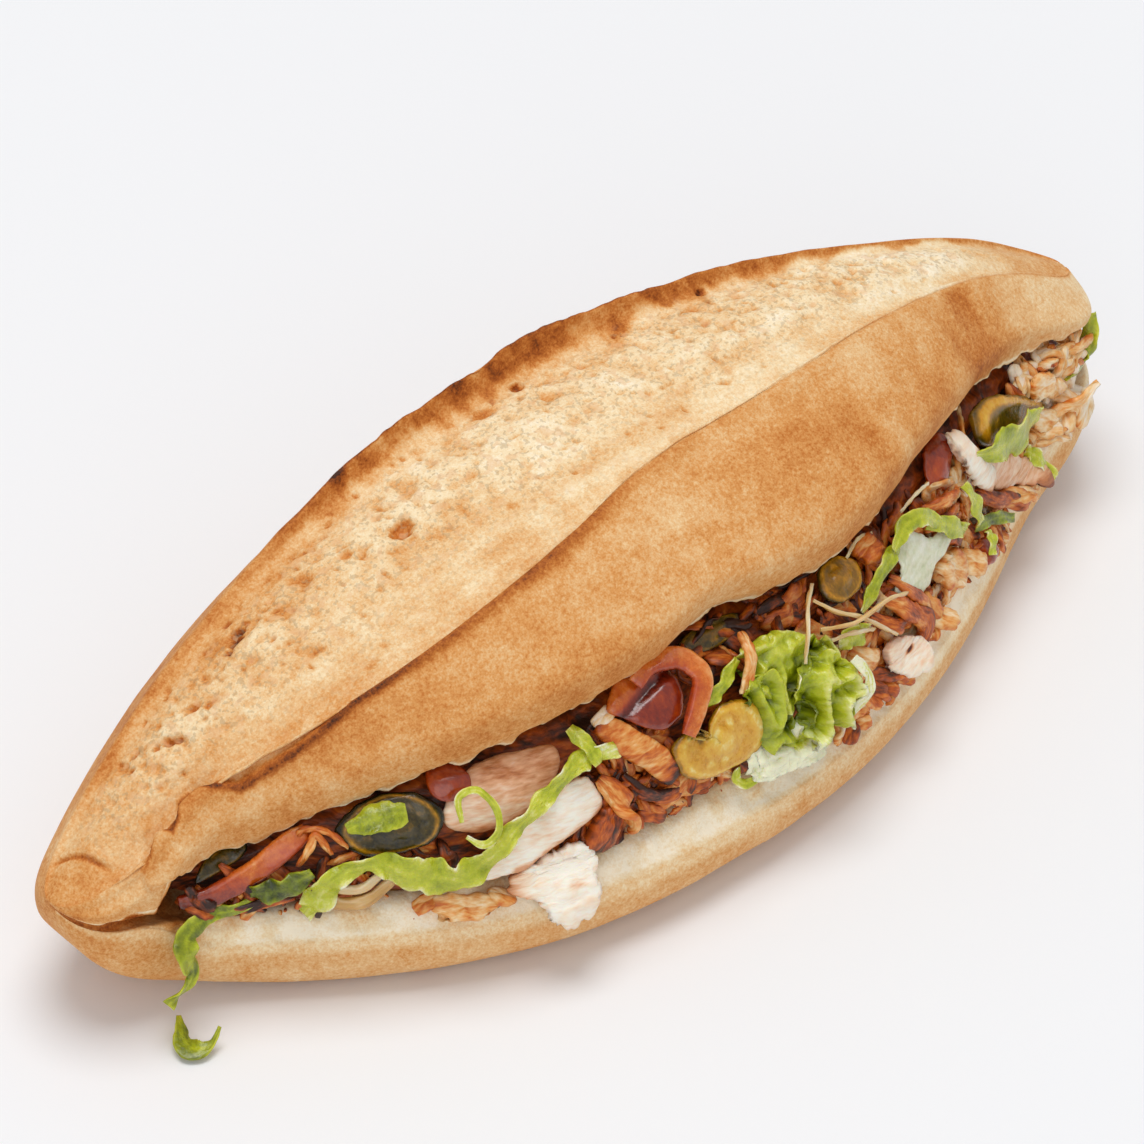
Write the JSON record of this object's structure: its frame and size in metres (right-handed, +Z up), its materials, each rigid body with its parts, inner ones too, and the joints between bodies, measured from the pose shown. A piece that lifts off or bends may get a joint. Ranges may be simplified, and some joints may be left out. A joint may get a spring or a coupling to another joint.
{
  "type": "doner kebab sandwich",
  "caption": "Slit crusty loaf with a torn score along its lid, filled with doner meat, shredded lettuce, tomato, pickles and onion that show along its open front.",
  "frame": {"origin": "on the underside's flat spot, half way along the loaf, on the surface it rests on", "axes": "+X along the loaf towards the end where the slit runs right through, -Y towards the open cut side, +Z up"},
  "size_m": [0.2746, 0.1009, 0.0877],
  "materials": {
    "bread": "satin",
    "meat": "satin",
    "chicken": "satin",
    "crisp_meat": "satin",
    "lettuce": "satin",
    "lettuce_rib": "satin",
    "tomato": "gloss",
    "pickle": "gloss",
    "pickle_skin": "gloss",
    "cucumber": "gloss",
    "onion": "satin",
    "cabbage": "satin"
  },
  "bodies": {
    "root": {"bread": "bread", "cabbage_leaf": "cabbage", "chunk_front": "chicken", "chunk_right": "chicken", "cucumber_left": "cucumber", "doner_meat": "meat", "lettuce_curl": "lettuce", "lettuce_fallen": "lettuce", "lettuce_hanging": "lettuce", "lettuce_leaf_1": "lettuce", "lettuce_leaf_2": "lettuce", "lettuce_leaf_3": "lettuce", "lettuce_long": "lettuce", "lettuce_loop": "lettuce_rib", "lettuce_patch": "lettuce", "lettuce_right": "lettuce", "lettuce_shred_1": "lettuce", "lettuce_shred_2": "lettuce_rib", "lettuce_shred_3": "lettuce", "lettuce_shred_4": "lettuce_rib", "lettuce_shred_5": "lettuce", "lettuce_shred_6": "lettuce_rib", "lettuce_shred_7": "lettuce", "lettuce_tip": "lettuce", "onion_ring": "onion", "onion_strand_1": "onion", "onion_strand_2": "onion", "onion_strand_3": "onion", "pickle_back": "pickle_skin", "pickle_far": "pickle", "pickle_left": "pickle_skin", "pickle_middle": "pickle", "pickle_right": "pickle_skin", "slice_crisp": "crisp_meat", "slice_pale": "chicken", "slice_right": "chicken", "slice_white": "chicken", "tomato_arc": "tomato", "tomato_left": "tomato", "tomato_wedge_1": "tomato", "tomato_wedge_2": "tomato", "tomato_wedge_3": "tomato", "tomato_wedge_4": "tomato"}
  },
  "joints": []
}
